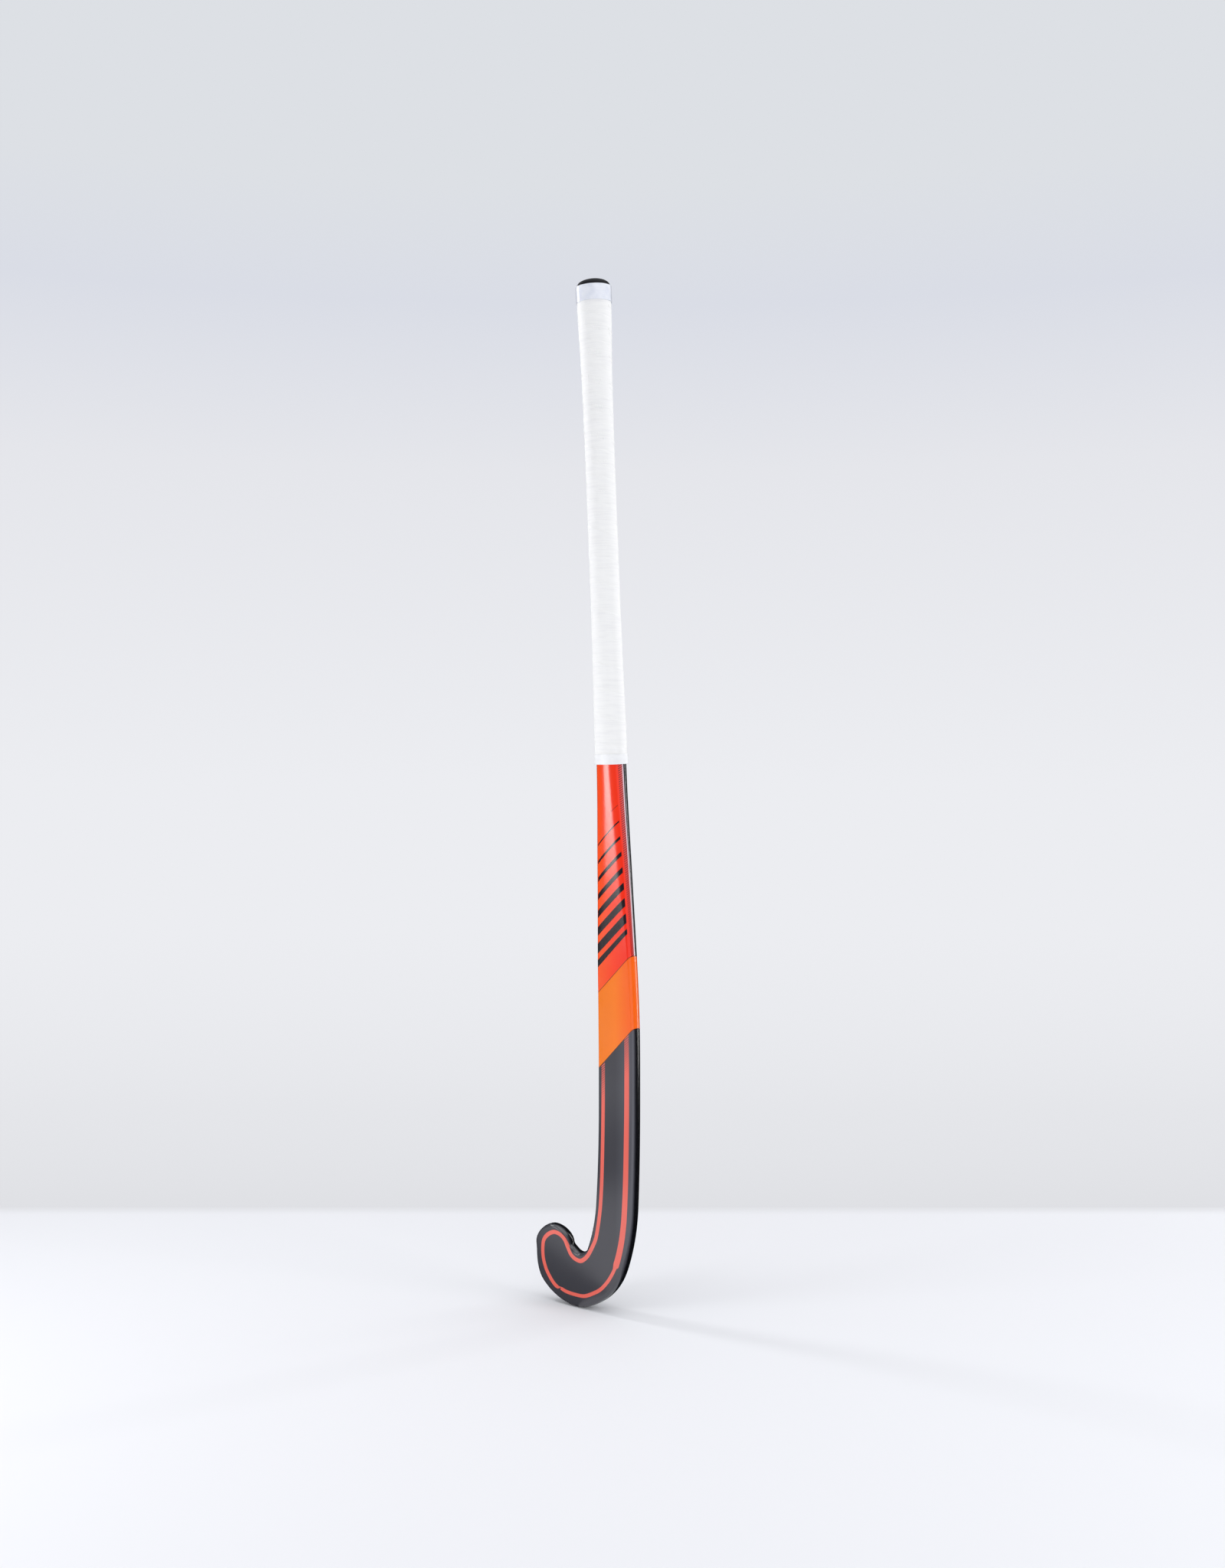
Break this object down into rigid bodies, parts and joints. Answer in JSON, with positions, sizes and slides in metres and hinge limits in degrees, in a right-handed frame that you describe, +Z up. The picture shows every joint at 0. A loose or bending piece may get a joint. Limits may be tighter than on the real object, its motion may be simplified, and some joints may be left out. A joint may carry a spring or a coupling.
{
  "type": "indoor hockey stick",
  "caption": "Slim hooked stick for indoor hockey: flat playing face, rounded back, laminated wooden core under a composite skin, wrapped grip and domed rubber butt cap.",
  "frame": {"origin": "on the handle's middle line, 100 mm below the butt end, where the upper hand holds the stick", "axes": "+Z up along the stick towards the butt end, -Y out of the flat playing face, -X towards the toe of the hook"},
  "size_m": [0.1144, 0.0668, 0.9271],
  "materials": {
    "painted_composite": "satin lacquer over fibre and resin, printed in red, orange and black",
    "mulberry": "steam-bent and glued strip",
    "handle_cane": "split cane, planed",
    "damping_rubber": "matt sheet rubber",
    "guard_fibre": "woven fibre strip in resin",
    "white_polyurethane": "matt, tacky, pressed with small marks",
    "white_tape": "smooth vinyl tape",
    "clear_film": "clear shrink film",
    "cap_rubber": "moulded, satin"
  },
  "bodies": {
    "root": {"composite_skin": "painted_composite", "head_lamination_1": "mulberry", "head_lamination_2": "mulberry", "head_lamination_3": "mulberry", "head_lamination_4": "mulberry", "head_lamination_5": "mulberry", "head_lamination_6": "mulberry", "handle_blade_toe_side": "handle_cane", "handle_blade_heel_side": "handle_cane", "damping_strip": "damping_rubber", "heel_guard": "guard_fibre", "grip_sleeve": "white_polyurethane", "finishing_tape": "white_tape", "top_collar": "clear_film", "butt_cap": "cap_rubber"}
  },
  "joints": []
}
